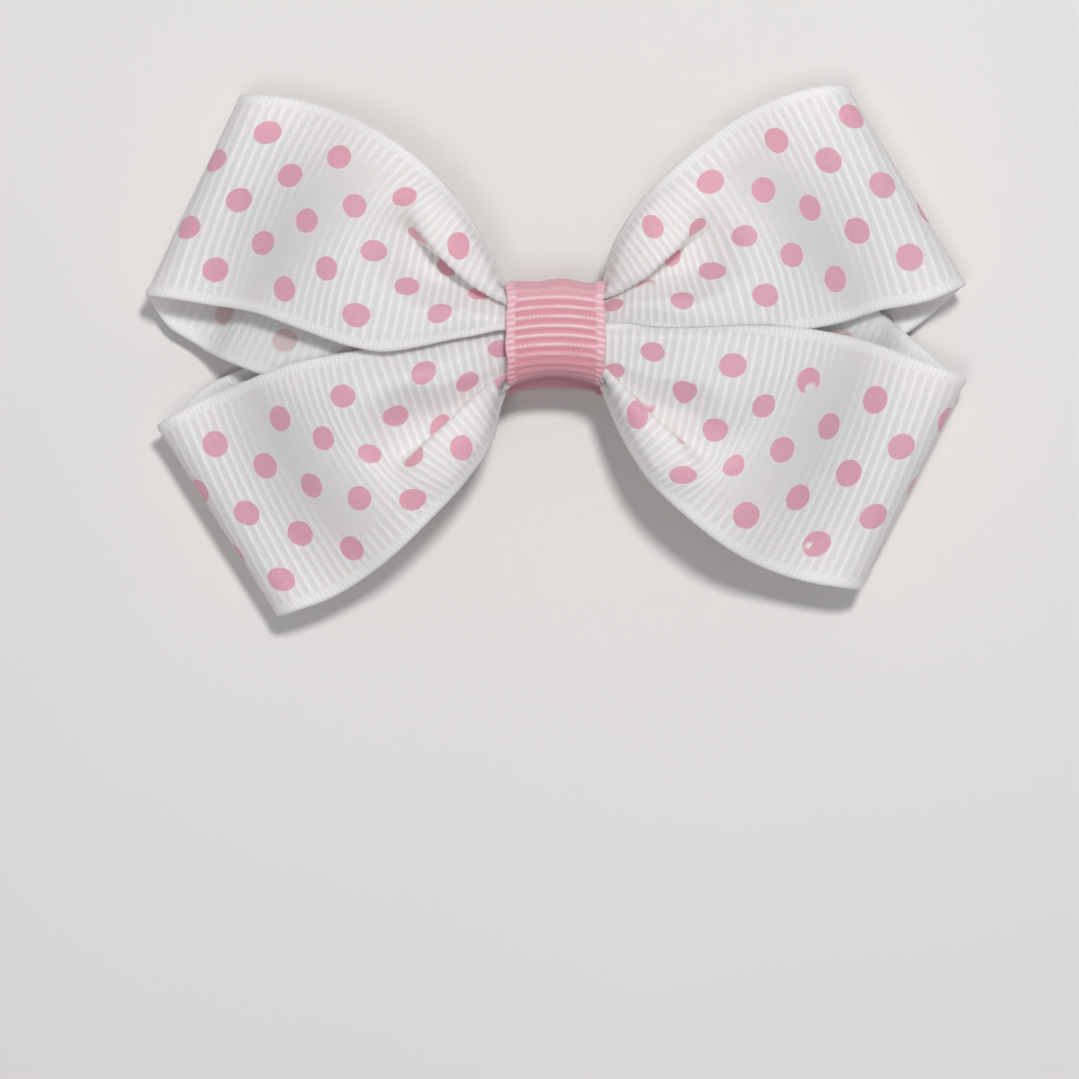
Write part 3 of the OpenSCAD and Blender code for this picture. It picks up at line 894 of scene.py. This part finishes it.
def wrap_path():
    """Points (y, z) of the wrap's middle line: from the lapped end below, over the knot and back under."""
    low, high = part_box("centre_wrap")
    z_low = low.z / MM
    z_high = high.z / MM
    return [
        (1.0, z_low + 0.25), (4.0, z_low + 0.5), (4.7, z_low + 1.5), (4.85, 8.4), (4.8, 10.6), (4.45, 12.3),
        (3.5, z_high - 0.3), (1.6, z_high), (-0.6, z_high), (-2.4, z_high - 0.15), (-3.5, z_high - 0.6),
        (-4.5, z_high - 1.5), (-5.0, 11.1), (-5.0, 10.2), (-5.2, 9.3), (-5.7, 8.3), (-5.6, 7.2),
        (-4.9, z_low + 1.2), (-4.0, z_low + 0.75), (0.0, z_low + 0.72), (3.2, z_low + 0.72),
    ]


def wrap_middle(y, z, tt, xx):
    """Middle points of the wrap: its path pulled hollow at the edges, with a wave over the far side."""
    z_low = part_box("centre_wrap")[0].z / MM
    half = WRAP_W / 2
    above = ease(z, 7.5, 11.5)
    low_side = ease(-y, 3.5, 5.0) * ease(z, z_low + 0.9, 8.0)
    near_top = ease(-y, 3.0, 4.4) * ease(z, 9.4, 10.4)
    hollow = 1 - np.clip(np.abs(xx) / half, 0, 1) ** 2
    bow = hollow * (0.5 * np.maximum(above, 1.6 * low_side) + 0.3 * near_top)
    wave = 0.12 * np.sin(xx * 1.35 + 0.8) * ease(y, 2.5, 4.5) * above
    return np.stack([
        xx * (1 + 0.012 * np.sin(tt * 0.9)) + 0.05 * np.sin(tt * 2.1 + xx),
        y + bow + wave,
        z - 0.10 * (xx / half) ** 2 * above,
    ], -1)


def wrap_relief(y, z, tt, xx):
    """The wrap's relief and layers: broken crests on top, beaded selvedges, painted highlight on the crests,
    the beads and the side towards +y, and painted shade low at -y.
    """
    strands = 0.5 + 0.5 * np.cos(2 * math.pi * xx / 0.41 + 1.3 * np.sin(tt * 1.7))
    frayed = ease(np.sin(tt * 1.9 + 0.6) + np.sin(xx * 1.1 + tt * 0.7), 0.1, 1.3)
    crest_and_highlight = rib_crest(tt, 0.50, 0.4) * (1 - 0.45 * frayed * strands)
    above = ease(z, 7.5, 11.5)
    top = np.exp(-(((y - 0.45) / 3.05) ** 10)) * above
    near_side = ease(-y, 2.2, 3.2) * ease(z, 9.6, 10.4)
    far_side = ease(y, 2.9, 3.4) * above
    # Where the wrap turns under on the side towards -y: painted shade there.
    shaded = ease(-y, 4.0, 4.5) * (1 - ease(z, 9.8, 10.6))
    edge = WRAP_W / 2 - np.abs(xx)
    selvedge = 1 - ease(edge, 0.75, 1.0)
    beads = 0.5 + 0.5 * np.cos(2 * math.pi * (tt + 0.12 * np.sign(xx)) / (RIB_PITCH / 1.5))
    strength = 0.10 + 0.90 * top + 0.30 * near_side
    height = WRAP_RIB_HEIGHT * crest_and_highlight * strength * (1 - selvedge)
    height += selvedge * (0.05 + WRAP_BEAD_HEIGHT * beads)
    height -= 0.05 * np.exp(-(((edge - WRAP_SELVEDGE) / 0.12) ** 2))
    height *= np.clip(edge / 0.2, 0.2, 1)
    # shine is painted highlight: on the side towards +y, a little on the near side, on the crests over the
    # top and on the selvedge beads.
    shine = 0.32 * far_side + 0.10 * near_side + crest_and_highlight * (0.1 + 0.9 * top) * (1 - selvedge)
    shine += selvedge * (0.4 + 0.6 * beads) * (0.35 + 0.65 * top)
    # Painted shade at half strength.
    painted_shade = np.broadcast_to(0.5 * shaded, tt.shape)
    return height, {"crest_and_highlight": np.clip(shine, 0, 1), "painted_shade": painted_shade}


def wrap_piece():
    """The narrow ribbon round the knot and the clip's upper arm, lapped underneath."""
    share = np.linspace(0, 1, WRAP_ROWS)
    line = edge_curve(wrap_path(), share)
    length = np.hypot(*np.diff(line, axis=0).T).sum()
    x = np.linspace(-1, 1, WRAP_COLUMNS) * WRAP_W / 2
    tt, xx = np.meshgrid(share * length, x, indexing="ij")
    y = line[:, :1]
    z = line[:, 1:]
    middle = wrap_middle(y, z, tt, xx)
    height, layers = wrap_relief(y, z, tt, xx)
    uv = np.stack([tt, xx], -1)
    material = wrap_ribbon_material("wrap_grosgrain")
    piece = sheet_mesh("centre_wrap_ribbon", middle, WRAP_T, height, [material, material], layers, uv)
    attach(piece, "bow")
    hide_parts("centre_wrap")


wrap_piece()


# ---------------------------------------------------------------- thread, lining, glue, clip and spring

def tube(name, line, radius, material, sides=12, closed=False, strands=0, twist=0.0):
    """A tube along a line of points in millimetres, with strands twisted round it if asked."""
    line = np.asarray(line, float)
    if closed:
        ahead = np.roll(line, -1, 0)
        behind = np.roll(line, 1, 0)
    else:
        ahead = np.vstack([line[1:], line[-1:] * 2 - line[-2:-1]])
        behind = np.vstack([line[:1] * 2 - line[1:2], line[:-1]])
    along = ahead - behind
    along /= np.linalg.norm(along, axis=1, keepdims=True)
    up = np.cross(along, (1, 0, 0) if strands else (0, 1, 0))
    up /= np.linalg.norm(up, axis=1, keepdims=True)
    side = np.cross(along, up)
    angle = np.linspace(0, 2 * math.pi, sides, endpoint=False)
    run = np.concatenate([[0], np.cumsum(np.linalg.norm(np.diff(line, axis=0), axis=1))])
    swell = 0.16 if strands else 0
    reach = radius * (1 + swell * np.cos(strands * (angle[None] - twist * run[:, None])))
    points = (
        line[:, None]
        + up[:, None] * (np.cos(angle)[None] * reach)[..., None]
        + side[:, None] * (np.sin(angle)[None] * reach)[..., None]
    )
    n = len(line)
    i, j = np.meshgrid(np.arange(n if closed else n - 1), np.arange(sides), indexing="ij")
    after_i = (i + 1) % n * sides
    after_j = (j + 1) % sides
    quads = np.stack([i * sides + j, after_i + j, after_i + after_j, i * sides + after_j], -1)
    faces = quads.reshape(-1, 4).tolist()
    if not closed:
        faces.append(list(range(sides)))
        faces.append(list(range((n - 1) * sides, n * sides))[::-1])
    return make_object(name, points.reshape(-1, 3), faces, [material])


THREAD_R = 0.15
THREAD_TURNS = 4
THREAD_TOP_GAP = 0.1
# Plan of one turn in Y and Z: half width, corner radius, and how far the middle lies off the clip's.
TURN_HALF_Y = 3.25
TURN_CORNER = 0.9
TURN_SHIFT_Y = 0.3
# Length along the thread in which its strands go half-way round.
STRAND_LAY = 1.1


def turn_line(x, z0, z1, turn):
    """One closed turn of thread, a rounded rectangle whose corners lean a little along X."""
    line = []
    for k, (sy, sz) in enumerate([(1, 1), (-1, 1), (-1, -1), (1, -1)]):
        y = TURN_SHIFT_Y + sy * (TURN_HALF_Y - TURN_CORNER)
        z = (z1 if sz > 0 else z0) - sz * TURN_CORNER
        for a in np.linspace(0, math.pi / 2, 14) + k * math.pi / 2:
            lean = 0.12 * math.sin(a * 2 + turn)
            line.append((x + lean, y + TURN_CORNER * math.cos(a), z + TURN_CORNER * math.sin(a)))
    around = np.array(line + line[:1])
    run = np.concatenate([[0], np.cumsum(np.linalg.norm(np.diff(around, axis=0), axis=1))])
    even = np.linspace(0, run[-1], 260, endpoint=False)
    return np.stack([np.interp(even, run, around[:, k]) for k in range(3)], -1), run[-1]


def thread_turns():
    """The turns of twisted thread that hold the gathers."""
    low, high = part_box("gathering_thread")
    z0 = low.z / MM + THREAD_R
    z1 = high.z / MM - THREAD_R - THREAD_TOP_GAP
    x0 = low.x / MM + THREAD_R
    x1 = high.x / MM - THREAD_R
    material = thread_material("white_thread")
    for turn in range(THREAD_TURNS):
        x = x0 + (x1 - x0) * turn / (THREAD_TURNS - 1)
        line, length = turn_line(x, z0, z1, turn)
        twist = round(length / STRAND_LAY) * 2 * math.pi / length
        piece = tube(f"gathering_thread_{turn + 1}", line, THREAD_R, material, 12, True, 3, twist)
        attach(piece, "bow")
        if turn == 0:
            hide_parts("gathering_thread")


LINING_T = 0.2
LINING_END_X = -5.5
LINING_ROWS = 420
LINING_COLUMNS = 26
# How far the lining's middle line lies inside its CAD box, at the tip and above and below.
LINING_TIP_INSET = 0.45
LINING_INSET = 0.14


def lining_path(x0, x1, z0, z1):
    """Points (x, z) of the lining: along the arm to its tip, round the tip and back under the arm."""
    middle_z = (z0 + z1) / 2
    r = (z1 - z0) / 2
    top = [(x, z1) for x in np.linspace(x1, x0 + r, 60)]
    half_turn = np.linspace(0, math.pi, 12)[1:-1]
    bend = [(x0 + r - r * math.sin(a), middle_z + r * math.cos(a)) for a in half_turn]
    under = [(x, z0) for x in np.linspace(x0 + r, LINING_END_X, 24)]
    return top + bend + under


def clip_lining():
    """Pink ribbon on the upper arm, folded round the tip and under it, narrower towards the tip."""
    low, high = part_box("clip_lining")
    x0 = low.x / MM + LINING_TIP_INSET
    x1 = high.x / MM
    z0 = low.z / MM + LINING_INSET
    z1 = high.z / MM - LINING_INSET
    share = np.linspace(0, 1, LINING_ROWS)
    line = edge_curve(lining_path(x0, x1, z0, z1), share)
    length = np.hypot(*np.diff(line, axis=0).T).sum()
    half_w = np.interp(line[:, 0], [x0, x0 + 1.2, x0 + 2.6, 4, x1], [1.3, 2.1, 2.5, 3.7, 3.7])
    tt, vv = np.meshgrid(share * length, np.linspace(-1, 1, LINING_COLUMNS), indexing="ij")
    across = vv * half_w[:, None]
    x = np.repeat(line[:, :1], LINING_COLUMNS, 1)
    z = np.repeat(line[:, 1:], LINING_COLUMNS, 1)
    middle = np.stack([x, -across, z], -1)
    ribs = rib_crest(tt, 0.42) * ease(half_w[:, None] - np.abs(across), 0.5, 0.8)
    # Painted highlight on the lining's rib crests; no painted shade.
    layers = {"crest_and_highlight": 0.6 * ribs, "painted_shade": np.zeros_like(tt)}
    uv = np.stack([tt, across], -1)
    material = wrap_ribbon_material("lining_grosgrain")
    piece = sheet_mesh("clip_lining_ribbon", middle, LINING_T, 0.04 * ribs, [material, material], layers, uv)
    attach(piece, "bow")
    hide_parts("clip_lining")


COIL_R = 1.5
COIL_HALF = 2.0
COIL_TURNS = 4.5
COIL_STEPS = 200
WIRE_R = 0.3
UPPER_ARM_UNDERSIDE = 6.4
# Points of the legs: the distance past the pin, with the gap to the upper arm or the wire's own height.
UPPER_LEG = [(7.5, 0.05), (5.7, 0.17), (4, 0.3), (2, 0.5)]
LOWER_LEG = [(2, 2.2), (4, 1.95), (5.7, 1.78), (7.5, 1.6)]


def torsion_spring():
    """The coil round the hinge pin, one leg under the upper arm and one on the thumb end."""
    pin_low, pin_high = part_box("hinge_pin")
    x0 = (pin_low.x + pin_high.x) / 2 / MM
    z0 = (pin_low.z + pin_high.z) / 2 / MM
    line = [(x0 + x, -COIL_HALF, UPPER_ARM_UNDERSIDE - WIRE_R - gap) for x, gap in UPPER_LEG]
    for i in range(COIL_STEPS + 1):
        a = math.pi / 2 + 2 * math.pi * COIL_TURNS * i / COIL_STEPS
        y = -COIL_HALF + 2 * COIL_HALF * i / COIL_STEPS
        line.append((x0 + COIL_R * math.cos(a), y, z0 + COIL_R * math.sin(a)))
    line += [(x0 + x, COIL_HALF, z) for x, z in LOWER_LEG]
    steel = metal_material("spring_steel", SPRING_STEEL, 0.24, (900, 9000, 9000))
    piece = tube("torsion_spring_wire", line, WIRE_R, steel, 14)
    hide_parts("torsion_spring")
    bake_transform(piece)


def dress(node, material):
    """A CAD node keeps its shape and gets a better material."""
    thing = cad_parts[node]
    thing.data.materials.clear()
    thing.data.materials.append(material)


thread_turns()
clip_lining()
torsion_spring()
plate = metal_material("clip_steel", CLIP_STEEL, 0.26, (300, 6000, 6000))
dress("clip_upper_arm", plate)
dress("clip_lower_arm", plate)
dress("hinge_pin", metal_material("pin_steel", PIN_STEEL, 0.22, (5000, 300, 5000)))
glue = glue_material("hot_glue")
dress("knot_glue", glue)
dress("wrap_glue", glue)


# ---------------------------------------------------------------- stage, in metres and watts

FLOOR_HALF = 0.9
# Width of the picture at the height of the bow, and where the camera looks straight down from.
VIEW_WIDTH = 0.1087
VIEW_Z = 0.009
VIEW_CENTRE = (-0.0016, -0.0206)
CAMERA_DISTANCE = 0.35
SENSOR_WIDTH = 36


def add_floor():
    """A pale paper floor with a faint cloud in its colour."""
    corners = [(-1, -1, 0), (1, -1, 0), (1, 1, 0), (-1, 1, 0)]
    mesh = bpy.data.meshes.new("floor")
    mesh.from_pydata([[FLOOR_HALF * c for c in corner] for corner in corners], [], [(0, 1, 2, 3)])
    material, graph, shader = new_material("floor_paper", {"Roughness": 0.85})
    cloud = graph.noise(graph.object_place(), 14.0, 3.0)
    graph.put(shader.inputs["Base Color"], graph.mix(cloud, PAPER_DIM, PAPER_BRIGHT))
    mesh.materials.append(material)
    link(bpy.data.objects.new("floor", mesh))


def add_area(name, place, size, watts):
    """A round lamp that points at the origin."""
    light = bpy.data.lights.new(name, "AREA")
    light.shape = "DISK"
    light.size = size
    light.energy = watts
    light.color = LAMP_WHITE
    lamp = link(bpy.data.objects.new(name, light))
    lamp.location = place
    lamp.rotation_mode = "QUATERNION"
    lamp.rotation_quaternion = (-lamp.location).to_track_quat("-Z", "Y")


def add_world(strength):
    """Even light from all round."""
    world = bpy.data.worlds.new("studio")
    bpy.context.scene.world = world
    world.use_nodes = True
    sky = world.node_tree.nodes["Background"]
    sky.inputs["Color"].default_value = SKY_WHITE
    sky.inputs["Strength"].default_value = strength


def add_camera():
    """A camera straight above the bow."""
    view = bpy.data.cameras.new("camera")
    view.sensor_width = SENSOR_WIDTH
    view.lens = SENSOR_WIDTH * CAMERA_DISTANCE / VIEW_WIDTH
    view.clip_start = 0.01
    view.clip_end = 5
    camera = link(bpy.data.objects.new("camera", view))
    camera.location = (*VIEW_CENTRE, VIEW_Z + CAMERA_DISTANCE)
    bpy.context.scene.camera = camera


add_floor()
add_area("key", (0.048, 0.108, 0.42), 0.055, 1.09)
add_area("fill", (-0.045, -0.10, 0.44), 0.12, 0.30)
add_world(0.25)
add_camera()
bpy.context.scene.view_settings.view_transform = "Standard"
